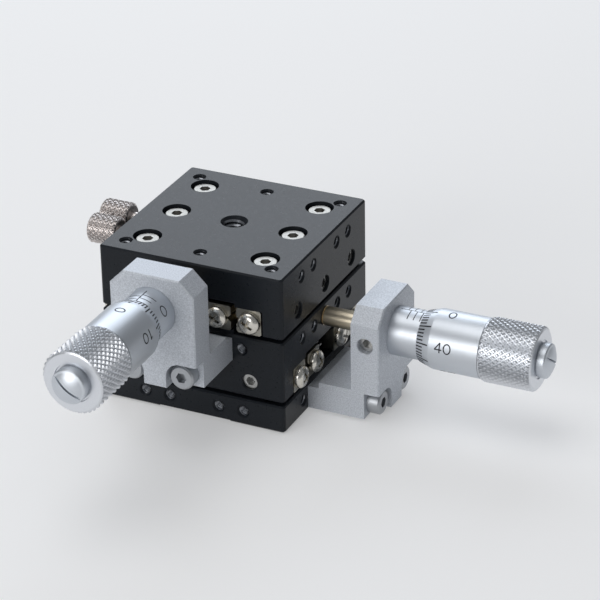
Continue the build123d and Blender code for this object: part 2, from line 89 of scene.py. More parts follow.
# ---- Micrometer head: radii, and lengths along its axis from the stage centre ----
BARREL_RADIUS = 4.6
BARREL_COLUMNS = 160
BORE_RADIUS = SLEEVE_RADIUS + 0.05
LIP_RADIUS = SLEEVE_RADIUS + 0.17
NECK_RADIUS = 1.67
BEVEL_END = 33.45
BEVEL_EDGE_BEFORE, BEVEL_EDGE_AFTER = 0.06, 0.08  # the bevel's rear edge is eased over this
GRIP_START = 41.35
END_WALL = THIMBLE_END - 3.0
SPIGOT_START = GRIP_START - 0.2  # the barrel goes on inside the grip as a spigot
SPIGOT_END = END_WALL + 0.1
SPIGOT_RADIUS = BARREL_RADIUS - 0.3
GRIP_FRONT = GRIP_START - 0.15
GRIP_BORE = BARREL_RADIUS - 0.4
GRIP_BOTTOM = BARREL_RADIUS - 0.02
FRONT_CHAMFER, END_CHAMFER, END_DROP = 1.1, 1.6, 0.5  # slopes of the grip's chamfers, and the rear's drop

# ---- End button, standing in a groove in the thimble's end face ----
GROOVE_DEPTH = 0.2
GROOVE_FOOT = BUTTON_RADIUS + 0.25
GROOVE_MOUTH = BUTTON_RADIUS + 0.3
WAIST_RADIUS = BUTTON_RADIUS - 0.15
WAIST_END = THIMBLE_END + 0.05
BUTTON_START = THIMBLE_END + 0.15
BUTTON_COLUMNS = 72
BUTTON_CROWN, BUTTON_CROWN_STEPS = 0.7, 10
BUTTON_ROUNDING, BUTTON_ROUNDING_STEPS = 0.3, 6
BUTTON_SLOT_WIDTH = 0.34
BUTTON_SLOT_DEPTH = 0.75
BUTTON_SLOT_TURN = -37.5

# ---- Scales: lines and numerals of ink that stand in and out of the metal by these ----
INK_RISE = 0.012
INK_DEPTH = 0.05
DATUM = 90.0  # the sleeve's datum line, in degrees round the axis
THIMBLE_LINES = 50
THIMBLE_LINE_START = THIMBLE_FRONT + 0.03
SHORT_LINE_END = THIMBLE_FRONT + 1.1
LONG_LINE_END = BEVEL_END - 0.12
THIMBLE_LINE_WIDTH = 0.2
THIMBLE_NUMERAL_PLACE = 35.75
THIMBLE_NUMERAL_HEIGHT, THIMBLE_NUMERAL_STROKE = 1.6, 0.19
SLEEVE_LINE_WIDTH = 0.13
SLEEVE_LINES, SLEEVE_LINE_STEP = 17, 0.5
DATUM_BEFORE_ZERO, DATUM_AFTER_ZERO = 1.2, 8.0
SLEEVE_LINE_REACH, ZERO_LINE_REACH = 30.0, 35.0  # degrees round from the datum line
SLEEVE_NUMERAL_TURN = 61.0
SLEEVE_NUMERAL_HEIGHT, SLEEVE_NUMERAL_STROKE = 1.7, 0.17

# ---- Diamond knurls: depth, diamonds around, rows along, share of a diamond at full height ----
KNURL_STEPS = 8  # steps across one diamond
GRIP_DEPTH, GRIP_AROUND, GRIP_ROWS, GRIP_FLAT = 0.28, 34, 7, 0.32
KNOB_DEPTH, KNOB_AROUND, KNOB_ROWS, KNOB_FLAT = 0.28, 17, 5, 0.4

# ---- Screws and thumb screws ----
SHANK_RADIUS = 1.0
END_SCREW_LENGTH = 3.0
LOCK_SCREW_LENGTH = 4.25
PAN_RIM = 0.3 * PAN_HEAD_HEIGHT
PAN_EDGE = 0.1
PAN_COLUMNS, PAN_DOME_STEPS, PAN_FULLNESS = 40, 9, 0.75
RECESS_MOUTH = (PAN_HEAD_HEIGHT + 0.3, 1.25, 0.24)  # height, reach of an arm, half its width
RECESS_FLOOR = (0.4, 0.4, 0.14)
FIRST_SPIN, NEXT_SPIN = 23, 37  # degrees that a row's first and later screws are turned by
KNOB_LENGTH = 4.9
KNOB_EDGE = 0.06  # plain land between the knurl and each end of a knob
KNOB_CORE = 0.3  # how far a knob's core lies under its knurl
KNOB_CHAMFER, KNOB_CHAMFER_DROP = 1.2, 0.12
KNOB_FACE_DROP = 0.15
SHANK_CHAMFER = 0.2

# ---- Threads in tapped holes, which the frame's solids leave as plain bores ----
THREAD_LEAD_IN = 0.3
THREAD_END_GAP = 0.2
THREAD_HEIGHT = 0.35  # as a share of the pitch
THREAD_HALF_WIDTH = 0.4  # as a share of the pitch
THREAD_ROOT, THREAD_LIFT = 0.03, 0.04  # its foot inside the wall, and the least it stands out
M2_TAP_RADIUS, M2_PITCH = 0.8, 0.4
M4_TAP_RADIUS, M4_PITCH = 1.65, 0.7
ROW_SPOTS = (-8.2, -4.1, 4.1, 8.2)
ROW_DEPTH = 2.6
SIDE_ROW_HEIGHT = 23.0
CORNER_HALF = 12.0
MIDDLE_HALF = 11.25
TABLE_M2_DEPTH, TABLE_M4_DEPTH = 4.5, 5.2

# ---- Return springs, along their slide from its centre ----
SPRING_POST = 13.1
SPRING_BODY = 9.7
SPRING_RING = 0.8
SPRING_LEAD = SPRING_BODY + 1.4  # where the wire leaves its ring for the first coil
RING_START, RING_SWEEP, RING_STEPS = 150, 330, 20
COIL_RADIUS = 0.9
COILS, COIL_STEPS = 44, 14
WIRE_RADIUS, WIRE_SIDES = 0.19, 8

# ---- How each slide lies from the lower one, its bodies, and where its scales start ----
SLIDES = {
    "x": {
        "place": Matrix.Identity(4),
        "lock_turn": 90,
        "fixed": "base",
        "moving": "middle",
        "thimble_zero": 85.0,
        "sleeve_zero": 28.5,
    },
    "y": {
        "place": Matrix.Translation((0, 0, PITCH)) @ Matrix.Rotation(-math.pi / 2, 4, "Z"),
        "lock_turn": 180,
        "fixed": "middle",
        "moving": "table",
        "thimble_zero": 91.0,
        "sleeve_zero": 29.0,
    },
}


# ---- Meshes ----
class Shape:
    """Vertices in millimetres and faces, gathered from several closed shells."""

    def __init__(self):
        self.vertices = []
        self.faces = []

    def add(self, vertices, faces):
        first = len(self.vertices)
        self.vertices.extend(Vector(v) for v in vertices)
        self.faces.extend(tuple(first + i for i in face) for face in faces)

    def moved(self, matrix):
        copy = Shape()
        copy.add([matrix @ v for v in self.vertices], self.faces)
        return copy

    def piece(self, name, material, matrix=Matrix.Identity(4), crease=30.0):
        """A Blender object of this shape: smooth, with creases where faces turn sharply."""
        mesh = bpy.data.meshes.new(name)
        mesh.from_pydata([matrix @ v * MM for v in self.vertices], [], self.faces)
        mesh.validate()
        mesh.shade_smooth()
        mesh.set_sharp_from_angle(angle=math.radians(crease))
        mesh.materials.append(material)
        piece = bpy.data.objects.new(name, mesh)
        bpy.context.scene.collection.objects.link(piece)
        return piece


def turned(rows, columns, loop=False):
    """A shell turned round +X. A row is (distance along, radius), or a radius for each column.

    A radius of 0 closes the shell on the axis; loop joins the last row to the first.
    """
    vertices, rings = [], []
    for along, radius in rows:
        start = len(vertices)
        if radius == 0:
            vertices.append((along, 0, 0))
            rings.append([start] * columns)
            continue
        for i in range(columns):
            r = radius[i] if isinstance(radius, list) else radius
            angle = 2 * math.pi * i / columns
            vertices.append((along, -r * math.cos(angle), r * math.sin(angle)))
        rings.append(list(range(start, start + columns)))
    pairs = list(zip(rings, rings[1:]))
    if loop:
        pairs.append((rings[-1], rings[0]))
    faces = []
    for low, high in pairs:
        for i in range(columns):
            j = (i + 1) % columns
            a, b, c, d = low[i], low[j], high[j], high[i]
            if a == b:
                faces.append((a, d, c))
            elif c == d:
                faces.append((a, c, b))
            else:
                slope_ac = abs(Vector(vertices[a]).yz.length - Vector(vertices[c]).yz.length)
                slope_bd = abs(Vector(vertices[b]).yz.length - Vector(vertices[d]).yz.length)
                if abs(slope_ac - slope_bd) < 1e-6:
                    faces.append((a, d, c, b))
                elif slope_ac < slope_bd:
                    faces.extend(((a, d, c), (a, c, b)))
                else:
                    faces.extend(((a, d, b), (d, c, b)))
    shape = Shape()
    shape.add(vertices, faces)
    return shape


def ribbon(points, width, to_surface, ring=False):
    """A closed flat band of ink along a path, laid on a surface by to_surface(along, round, lift)."""
    count = len(points)
    outline = []
    for side in (1, -1):
        edge = []
        for i, (u, v) in enumerate(points):
            before = points[i - 1] if i or ring else points[0]
            after = points[(i + 1) % count] if i < count - 1 or ring else points[-1]
            du, dv = after[0] - before[0], after[1] - before[1]
            size = math.hypot(du, dv)
            edge.append((u - side * dv / size * width / 2, v + side * du / size * width / 2))
        outline.append(edge)
    vertices = [to_surface(u, v, lift) for lift in (INK_RISE, -INK_DEPTH) for e in outline for u, v in e]
    left, right, deep_left, deep_right = 0, count, 2 * count, 3 * count
    faces = []
    for i in range(count if ring else count - 1):
        j = (i + 1) % count
        faces.append((left + i, right + i, right + j, left + j))
        faces.append((deep_left + i, deep_left + j, deep_right + j, deep_right + i))
        faces.append((left + i, left + j, deep_left + j, deep_left + i))
        faces.append((right + j, right + i, deep_right + i, deep_right + j))
    if not ring:
        last = count - 1
        faces.append((left, deep_left, deep_right, right))
        faces.append((left + last, right + last, deep_right + last, deep_left + last))
    return vertices, faces


def wire(points, radius):
    """A closed round wire along a path."""
    path = [Vector(p) for p in points]
    vertices, faces = [], []
    normal = Vector((0, 0, 1))
    for i, p in enumerate(path):
        tangent = (path[min(i + 1, len(path) - 1)] - path[max(i - 1, 0)]).normalized()
        normal = (normal - tangent * normal.dot(tangent)).normalized()
        side = tangent.cross(normal)
        for k in range(WIRE_SIDES):
            angle = 2 * math.pi * k / WIRE_SIDES
            vertices.append(p + (normal * math.cos(angle) + side * math.sin(angle)) * radius)
    for i in range(len(path) - 1):
        low, high = i * WIRE_SIDES, (i + 1) * WIRE_SIDES
        for k in range(WIRE_SIDES):
            j = (k + 1) % WIRE_SIDES
            faces.append((low + k, low + j, high + j, high + k))
    faces.append(tuple(reversed(range(WIRE_SIDES))))
    faces.append(tuple(range(len(vertices) - WIRE_SIDES, len(vertices))))
    shape = Shape()
    shape.add(vertices, faces)
    return shape


def carved(body, cutter):
    """The body's shape with the cutter's taken out of it."""
    made = []
    for shape in (body, cutter):
        mesh = bpy.data.meshes.new("carving")
        mesh.from_pydata(shape.vertices, [], shape.faces)
        made.append(bpy.data.objects.new("carving", mesh))
        bpy.context.scene.collection.objects.link(made[-1])
    cut = made[0].modifiers.new("cut", "BOOLEAN")
    cut.operation = "DIFFERENCE"
    cut.solver = "EXACT"
    cut.object = made[1]
    bpy.context.view_layer.update()
    graph = bpy.context.evaluated_depsgraph_get()
    mesh = bpy.data.meshes.new_from_object(made[0].evaluated_get(graph))
    result = Shape()
    result.add([v.co for v in mesh.vertices], [tuple(p.vertices) for p in mesh.polygons])
    for piece in made:
        bpy.data.objects.remove(piece)
    bpy.data.meshes.remove(mesh)
    return result


# ---- Strokes of the engraved numerals, in a box one unit high, centred on the origin ----
def arc(x, y, rx, ry, start, end, steps=14):
    """Points of an elliptical arc about (x, y), with its angles in degrees."""
    turns = [math.radians(start + (end - start) * i / steps) for i in range(steps + 1)]
    return [(x + rx * math.cos(a), y + ry * math.sin(a)) for a in turns]


NUMERAL_ADVANCE = 0.86
STROKE_STEPS = 8
ZERO_SIZE, ZERO_STEPS = (0.33, 0.46), 28  # a zero is a closed ring, which engrave adds
NUMERALS = {
    "0": [],
    "1": [[(-0.15, 0.25), (0.07, 0.46)], [(0.06, 0.5), (0.06, -0.5)]],
    "2": [arc(0, 0.19, 0.27, 0.27, 170, -38), [(0.22, 0.03), (-0.3, -0.45)], [(-0.33, -0.46), (0.32, -0.46)]],
    "3": [arc(0, 0.23, 0.24, 0.23, 150, -90), arc(0, -0.23, 0.28, 0.23, 90, -150)],
    "4": [[(0.13, -0.5), (0.13, 0.5)], [(0.13, 0.46), (-0.34, -0.18)], [(-0.37, -0.18), (0.36, -0.18)]],
    "5": [[(0.29, 0.46), (-0.2, 0.46)], [(-0.19, 0.5), (-0.24, 0.02)], arc(0, -0.16, 0.28, 0.3, 140, -150)],
}


def divided(start, end, steps):
    """Points along a straight line, so that it can follow a curved surface."""
    shares = [i / steps for i in range(steps + 1)]
    return [(start[0] + (end[0] - start[0]) * s, start[1] + (end[1] - start[1]) * s) for s in shares]


def engrave(shape, text, along, angle, height, stroke, radius):
    """Numerals on a turned surface, read along +X with their tops towards growing angles."""
    advance = NUMERAL_ADVANCE * height

    def to_surface(u, v, lift):
        turn = math.radians(angle) + v / radius
        r = radius + lift
        return (along + u, -r * math.cos(turn), r * math.sin(turn))

    for index, numeral in enumerate(text):
        shift = (index - (len(text) - 1) / 2) * advance
        for path in NUMERALS[numeral]:
            points = [(x * height + shift, y * height) for x, y in path]
            if len(points) == 2:
                points = divided(*points, STROKE_STEPS)
            shape.add(*ribbon(points, stroke, to_surface))
        if numeral == "0":
            last = 360 - 360 / ZERO_STEPS
            across, tall = ZERO_SIZE
            points = arc(shift, 0, across * height, tall * height, 0, last, ZERO_STEPS - 1)
            shape.add(*ribbon(points, stroke, to_surface, ring=True))


SCORE_STEP = 4  # degrees


def score(shape, start, end, width, radius_at):
    """A straight line of ink between two (along, angle in degrees) points of a turned surface."""
    steps = max(1, round(abs(end[1] - start[1]) / SCORE_STEP))
    middle = radius_at((start[0] + end[0]) / 2)

    def to_surface(u, v, lift):
        r = radius_at(u) + lift
        return (u, -r * math.cos(v / middle), r * math.sin(v / middle))

    points = []
    for i in range(steps + 1):
        share = i / steps
        along = start[0] + (end[0] - start[0]) * share
        points.append((along, math.radians(start[1] + (end[1] - start[1]) * share) * middle))
    shape.add(*ribbon(points, width, to_surface))


# ---- Materials ----
def shader(name, colour, metallic, roughness, specular=0.5):
    """A Principled material; returns it with its node tree and shader."""
    material = bpy.data.materials.new(name)
    material.use_nodes = True
    tree = material.node_tree
    principled = tree.nodes["Principled BSDF"]
    principled.inputs["Base Color"].default_value = (*colour, 1)
    principled.inputs["Metallic"].default_value = metallic
    principled.inputs["Roughness"].default_value = roughness
    principled.inputs["Specular IOR Level"].default_value = specular
    return material, tree, principled


def grain(tree, scale, stretch=(1, 1, 1), detail=3.0):
    """Noise in the frame's own coordinates; scale is in grains per metre."""
    place = tree.nodes.new("ShaderNodeTexCoord")
    mapping = tree.nodes.new("ShaderNodeMapping")
    mapping.inputs["Scale"].default_value = stretch
    noise = tree.nodes.new("ShaderNodeTexNoise")
    noise.inputs["Scale"].default_value = scale
    noise.inputs["Detail"].default_value = detail
    tree.links.new(place.outputs["Object"], mapping.inputs["Vector"])
    tree.links.new(mapping.outputs["Vector"], noise.inputs["Vector"])
    return noise.outputs["Fac"]


def vary(tree, source, low, high, target):
    """Lets a noise output run a socket between two values, stretched to use all of the span."""
    spread = tree.nodes.new("ShaderNodeMapRange")
    spread.inputs["From Min"].default_value = 0.3
    spread.inputs["From Max"].default_value = 0.7
    spread.inputs["To Min"].default_value = low
    spread.inputs["To Max"].default_value = high
    tree.links.new(source, spread.inputs["Value"])
    tree.links.new(spread.outputs["Result"], target)


def tint(tree, source, dark, light, principled):
    """Lets a noise output run the base colour between two colours."""
    mix = tree.nodes.new("ShaderNodeMix")
    mix.data_type = "RGBA"
    mix.inputs["A"].default_value = (*dark, 1)
    mix.inputs["B"].default_value = (*light, 1)
    vary(tree, source, 0.0, 1.0, mix.inputs["Factor"])
    tree.links.new(mix.outputs["Result"], principled.inputs["Base Color"])


def roughen(tree, source, principled, depth):
    """Fine relief from a noise output; depth in millimetres."""
    bump = tree.nodes.new("ShaderNodeBump")
    bump.inputs["Strength"].default_value = 1.0
    bump.inputs["Distance"].default_value = depth * MM
    tree.links.new(source, bump.inputs["Height"])
    tree.links.new(bump.outputs["Normal"], principled.inputs["Normal"])


def black_anodised():
    """Satin black anodised aluminium of the plates."""
    material, tree, principled = shader("black_anodised", (0.012, 0.0145, 0.018), 0.0, 0.29, 0.18)
    fine = grain(tree, 6500)
    tint(tree, fine, (0.009, 0.011, 0.0142), (0.0135, 0.0163, 0.0205), principled)
    vary(tree, grain(tree, 2500, detail=4.0), 0.27, 0.31, principled.inputs["Roughness"])
    roughen(tree, fine, principled, 0.002)
    return material


def silver_anodised():
    """Bead-blasted clear anodised aluminium of the brackets."""
    material, tree, principled = shader("silver_anodised", (0.56, 0.585, 0.625), 0.4, 0.5)
    fine = grain(tree, 5200, detail=4.0)
    tint(tree, fine, (0.44, 0.465, 0.505), (0.66, 0.69, 0.735), principled)
    roughen(tree, fine, principled, 0.02)
    return material


def turned_metal(name, axis, colour, roughness, depth):
    """Turned metal: fine rings round the given axis."""
    material, tree, principled = shader(name, colour, 1.0, roughness)
    along = [0.02, 0.02, 0.02]
    along["xyz".index(axis)] = 1.0
    rings = grain(tree, 9000, along)
    vary(tree, rings, roughness - 0.02, roughness + 0.03, principled.inputs["Roughness"])
    roughen(tree, rings, principled, depth)
    return material


def plain_metal(name, colour, roughness, depth=0.0):
    """Plain metal of uneven gloss, with a fine relief where a depth is given."""
    material, tree, principled = shader(name, colour, 1.0, roughness)
    fine = grain(tree, 3000)
    vary(tree, fine, roughness - 0.04, roughness + 0.06, principled.inputs["Roughness"])
    if depth:
        roughen(tree, fine, principled, depth)
    return material


def ink():
    """Black paint in the lines and numerals."""
    material, tree, principled = shader("engraved_ink", (0.02, 0.02, 0.024), 0.0, 0.6, 0.3)
    tint(tree, grain(tree, 9000), (0.012, 0.012, 0.015), (0.03, 0.03, 0.035), principled)
    return material


INK = ink()
CHROME = {n: turned_metal(f"satin_chrome_{n}", n, (0.595, 0.625, 0.665), 0.43, 0.0001) for n in "xy"}
GRIP = plain_metal("grip_chrome", (0.70, 0.72, 0.755), 0.34)
SPINDLE = {n: turned_metal(f"spindle_steel_{n}", n, (0.80, 0.71, 0.55), 0.34, 0.0001) for n in "xy"}
NICKEL = plain_metal("screw_nickel", (0.66, 0.635, 0.58), 0.24)
SOCKET_NICKEL = plain_metal("socket_nickel", (0.40, 0.39, 0.365), 0.42, 0.004)
SOCKET_STEEL = plain_metal("socket_steel", (0.40, 0.415, 0.435), 0.4, 0.004)
KNOB = plain_metal("knob_nickel", (0.62, 0.575, 0.555), 0.3)
THREAD = plain_metal("bare_thread", (0.24, 0.25, 0.27), 0.28)
SLOTS = {
    "black_anodised": black_anodised(),
    "silver_anodised": silver_anodised(),
    "rail_steel": plain_metal("rail_steel", (0.42, 0.40, 0.35), 0.34, 0.002),
    "roller_steel": plain_metal("roller_steel", (0.62, 0.62, 0.6), 0.16),
    "cage_brass": plain_metal("cage_brass", (0.66, 0.50, 0.27), 0.34, 0.002),
    "knob_nickel": KNOB,
    "set_screw_steel": plain_metal("set_screw_steel", (0.45, 0.45, 0.44), 0.3),
    "spring_steel": plain_metal("spring_steel", (0.5, 0.5, 0.5), 0.28),
    "screw_nickel": NICKEL,
    "bare_thread": THREAD,
    "engraved_ink": INK,
}



def dress_solids():
    """Each solid of the frame gets its slot's material; turned ones get their own slide's rings."""
    for subpart in frame["record"]["subparts"]:
        node, name = subpart["node"], subpart["material_slot"]
        if name in ("satin_chrome", "spindle_steel"):
            material = (CHROME if name == "satin_chrome" else SPINDLE)[node[0]]
        elif node.endswith("rail_screws"):
            material = SOCKET_NICKEL
        elif node.endswith("bracket_screws"):
            material = SOCKET_STEEL
        else:
            material = SLOTS[name]
        solid = frame["nodes"][node]
        solid.data.materials.clear()
        solid.data.materials.append(material)


# ---- Micrometer heads ----
def bevel_radius(along):
    """Radius of the thimble's bevelled front at a distance along the axis."""
    share = (along - THIMBLE_FRONT) / (BEVEL_END - THIMBLE_FRONT)
    return LIP_RADIUS + (BARREL_RADIUS - LIP_RADIUS) * share


def diamond_rows(start, end, radius, depth, around, rows, flat, ends):
    """Rows of radii for a diamond knurl: flat is the share of a diamond that stands full height.

    ends gives the highest radius that the chamfers at both ends leave, at a distance along.
    """
    steps = rows * KNURL_STEPS
    made = []
    for j in range(steps + 1):
        along = start + (end - start) * j / steps
        radii = []
        for i in range(around * KNURL_STEPS):
            height = 1.0
            for lane in ((i + j) % KNURL_STEPS, (i - j) % KNURL_STEPS):
                off = min(lane, KNURL_STEPS - lane) / KNURL_STEPS  # distance from a groove
                height = min(height, off / (0.5 * (1 - flat)))
            radii.append(min(radius - depth * (1 - height), ends(along)))
        made.append((along, radii))
    return made


def micrometer_place(name):
    """Where a slide's turned micrometer pieces lie."""
    return SLIDES[name]["place"] @ Matrix.Translation((0, 0, AXIS_HEIGHT))


def build_thimble_barrel(name):
    """Smooth front of the thimble, bevelled down to the sleeve."""
    bevel_edge = BEVEL_END - BEVEL_EDGE_BEFORE
    rows = [(THIMBLE_FRONT, BORE_RADIUS), (THIMBLE_FRONT, LIP_RADIUS)]
    rows += [(bevel_edge, bevel_radius(bevel_edge)), (BEVEL_END + BEVEL_EDGE_AFTER, BARREL_RADIUS)]
    rows += [(SPIGOT_START, BARREL_RADIUS), (SPIGOT_START, SPIGOT_RADIUS)]
    rows += [(SPIGOT_END, SPIGOT_RADIUS), (SPIGOT_END, BORE_RADIUS)]
    barrel = turned(rows, BARREL_COLUMNS, loop=True)
    piece = barrel.piece(f"{name}_thimble_barrel", CHROME[name], micrometer_place(name))
    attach(piece, f"{name}_micrometer")
    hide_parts(f"{name}_thimble")


def build_thimble_grip(name):
    """Knurled rear of the thimble, chamfered at both ends, with the groove round the button."""

    def chamfered(along):
        rise = GRIP_BOTTOM + (along - GRIP_START + 0.05) * FRONT_CHAMFER
        fall = GRIP_RADIUS - END_DROP + (THIMBLE_END - along) * END_CHAMFER
        return min(GRIP_RADIUS, rise, fall)

    knurl = diamond_rows(
        GRIP_START, THIMBLE_END, GRIP_RADIUS, GRIP_DEPTH, GRIP_AROUND, GRIP_ROWS, GRIP_FLAT, chamfered
    )
    groove_floor = THIMBLE_END - GROOVE_DEPTH
    rows = [(THIMBLE_END, GROOVE_MOUTH), (groove_floor, GROOVE_FOOT), (groove_floor, NECK_RADIUS)]
    rows += [(END_WALL, NECK_RADIUS), (END_WALL, GRIP_BORE)]
    rows += [(GRIP_FRONT, GRIP_BORE), (GRIP_FRONT, GRIP_BOTTOM)] + knurl
    grip = turned(rows, GRIP_AROUND * KNURL_STEPS, loop=True)
    piece = grip.piece(f"{name}_thimble_grip", GRIP, micrometer_place(name), 18.0)
    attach(piece, f"{name}_micrometer")
    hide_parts(f"{name}_thimble")


def build_thimble_marks(name):
    """Fifty lines on the bevel, longer at each fifth, and a numeral at each tenth."""
    marks = Shape()
    for line in range(THIMBLE_LINES):
        angle = SLIDES[name]["thimble_zero"] + line * 360 / THIMBLE_LINES
        end = LONG_LINE_END if line % 5 == 0 else SHORT_LINE_END
        score(marks, (THIMBLE_LINE_START, angle), (end, angle), THIMBLE_LINE_WIDTH, bevel_radius)
        if line % 10 == 0:
            height, stroke = THIMBLE_NUMERAL_HEIGHT, THIMBLE_NUMERAL_STROKE
            engrave(marks, str(line), THIMBLE_NUMERAL_PLACE, angle, height, stroke, BARREL_RADIUS)
    piece = marks.piece(f"{name}_thimble_marks", INK, micrometer_place(name))
    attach(piece, f"{name}_micrometer")


def build_end_button(name):
    """Crowned button with a driver slot across its face."""
    rim = BUTTON_END - BUTTON_CROWN
    wall_end = rim - BUTTON_ROUNDING
    rows = [(THIMBLE_END - GROOVE_DEPTH, 0), (THIMBLE_END - GROOVE_DEPTH, WAIST_RADIUS)]
    rows += [(WAIST_END, WAIST_RADIUS), (BUTTON_START, BUTTON_RADIUS), (wall_end, BUTTON_RADIUS)]
    for step in range(1, BUTTON_ROUNDING_STEPS):
        turn = math.pi / 2 * step / BUTTON_ROUNDING_STEPS
        inward = BUTTON_ROUNDING * (1 - math.cos(turn))
        rows.append((wall_end + BUTTON_ROUNDING * math.sin(turn), BUTTON_RADIUS - inward))
    face = BUTTON_RADIUS - BUTTON_ROUNDING
    for step in range(BUTTON_CROWN_STEPS):
        radius = face * (1 - step / BUTTON_CROWN_STEPS)
        rows.append((rim + BUTTON_CROWN * (1 - (radius / face) ** 2), radius))
    rows.append((BUTTON_END, 0))
    button = carved(turned(rows, BUTTON_COLUMNS), slot_cutter())
    piece = button.piece(f"{name}_end_button_crowned", CHROME[name], micrometer_place(name), 35.0)
    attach(piece, f"{name}_micrometer")
    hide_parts(f"{name}_end_button")


def slot_cutter():
    """A block that cuts the button's driver slot, wider and higher than the button."""
    floor, top = BUTTON_END - BUTTON_SLOT_DEPTH, BUTTON_END + 1
    side, half = BUTTON_RADIUS + 1.35, BUTTON_SLOT_WIDTH / 2
    corners = [(x, y, z) for x in (floor, top) for y in (-side, side) for z in (-half, half)]
    block = Shape()
    block.add(corners, [(0, 1, 3, 2), (4, 6, 7, 5), (0, 4, 5, 1), (2, 3, 7, 6), (0, 2, 6, 4), (1, 5, 7, 3)])
    return block.moved(Matrix.Rotation(math.radians(BUTTON_SLOT_TURN), 4, "X"))


def build_sleeve_marks(name):
    """Datum line on the sleeve, with half-millimetre lines on alternate sides and two numerals."""
    marks = Shape()
    zero = SLIDES[name]["sleeve_zero"]

    def level(along):
        return SLEEVE_RADIUS

    start, end = (zero - DATUM_BEFORE_ZERO, DATUM), (zero + DATUM_AFTER_ZERO, DATUM)
    score(marks, start, end, SLEEVE_LINE_WIDTH, level)
    for line in range(SLEEVE_LINES):
        along = zero + line * SLEEVE_LINE_STEP
        side = 1 if line % 2 == 0 else -1
        reach = ZERO_LINE_REACH if line == 0 else SLEEVE_LINE_REACH
        score(marks, (along, DATUM), (along, DATUM + side * reach), SLEEVE_LINE_WIDTH, level)
    for number in (0, 5):
        turn = DATUM + SLEEVE_NUMERAL_TURN
        height, stroke = SLEEVE_NUMERAL_HEIGHT, SLEEVE_NUMERAL_STROKE
        engrave(marks, str(number), zero + number, turn, height, stroke, SLEEVE_RADIUS)
    piece = marks.piece(f"{name}_sleeve_marks", INK, micrometer_place(name))
    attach(piece, SLIDES[name]["fixed"])


# ---- Cross-recess screws ----
def recess_cutter():
    """A cross that tapers from the recess's mouth to its floor."""
    vertices = []
    for along, reach, half in (RECESS_MOUTH, RECESS_FLOOR):
        for quarter in range(4):
            turn = Matrix.Rotation(quarter * math.pi / 2, 4, "X")
            for y, z in ((reach, -half), (reach, half), (half, half)):
                vertices.append(turn @ Vector((along, y, z)))
    count = len(vertices) // 2
    faces = [tuple(range(count)), tuple(reversed(range(count, 2 * count)))]
    for i in range(count):
        j = (i + 1) % count
        faces.append((i, count + i, count + j, j))
    cutter = Shape()
    cutter.add(vertices, faces)
    return cutter


def pan_screw(length):
    """Domed screw standing out along +X from its seat at the origin, with a cross recess."""
    rows = [(-length, 0), (-length, SHANK_RADIUS), (0, SHANK_RADIUS)]
    rows += [(0, PAN_HEAD_RADIUS - PAN_EDGE), (PAN_EDGE, PAN_HEAD_RADIUS)]
    for step in range(PAN_DOME_STEPS):
        lift = math.pi / 2 * step / PAN_DOME_STEPS
        along = PAN_RIM + (PAN_HEAD_HEIGHT - PAN_RIM) * math.sin(lift)
        rows.append((along, PAN_HEAD_RADIUS * math.cos(lift) ** PAN_FULLNESS))
    rows.append((PAN_HEAD_HEIGHT, 0))
    return carved(turned(rows, PAN_COLUMNS), recess_cutter())


def facing(turn, origin):
    """Where a screw stands: its head points to a direction turned from +X about +Z, in degrees."""
    return Matrix.Translation(origin) @ Matrix.Rotation(math.radians(turn), 4, "Z")


def build_pan_screws(node, body, screw, places):
    """One piece for a node's screws, each turned a little differently."""
    gathered = Shape()
    for index, place in enumerate(places):
        spin = Matrix.Rotation(math.radians(FIRST_SPIN + NEXT_SPIN * index), 4, "X")
        moved = screw.moved(place @ spin)
        gathered.add(moved.vertices, moved.faces)
    piece = gathered.piece(f"{node}_domed", NICKEL, crease=35.0)
    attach(piece, body)
    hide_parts(node)


def build_slide_screws(name, end_screw, lock_screw):
    """Screws at the rails' ends, both ways along the slide, and the two in its lock plate."""
    slide = SLIDES[name]
    for rail, line, body in (
        ("inner", INNER_SCREW_LINE, slide["fixed"]),
        ("outer", OUTER_SCREW_LINE, slide["moving"]),
    ):
        places = [
            slide["place"] @ facing(turn, (FACE if turn == 0 else -FACE, side * line, RAIL_MIDDLE))
            for turn in (0, 180)
            for side in (-1, 1)
        ]
        build_pan_screws(f"{name}_{rail}_end_screws", body, end_screw, places)
    lift = 0 if name == "x" else PITCH
    out = facing(slide["lock_turn"], (0, 0, ROW_HEIGHT + lift))
    places = [out @ Matrix.Translation((LOCK_OUTSIDE, side * LOCK_SCREW_SPOT, 0)) for side in (-1, 1)]
    build_pan_screws(f"{name}_lock_plate_screws", slide["fixed"], lock_screw, places)


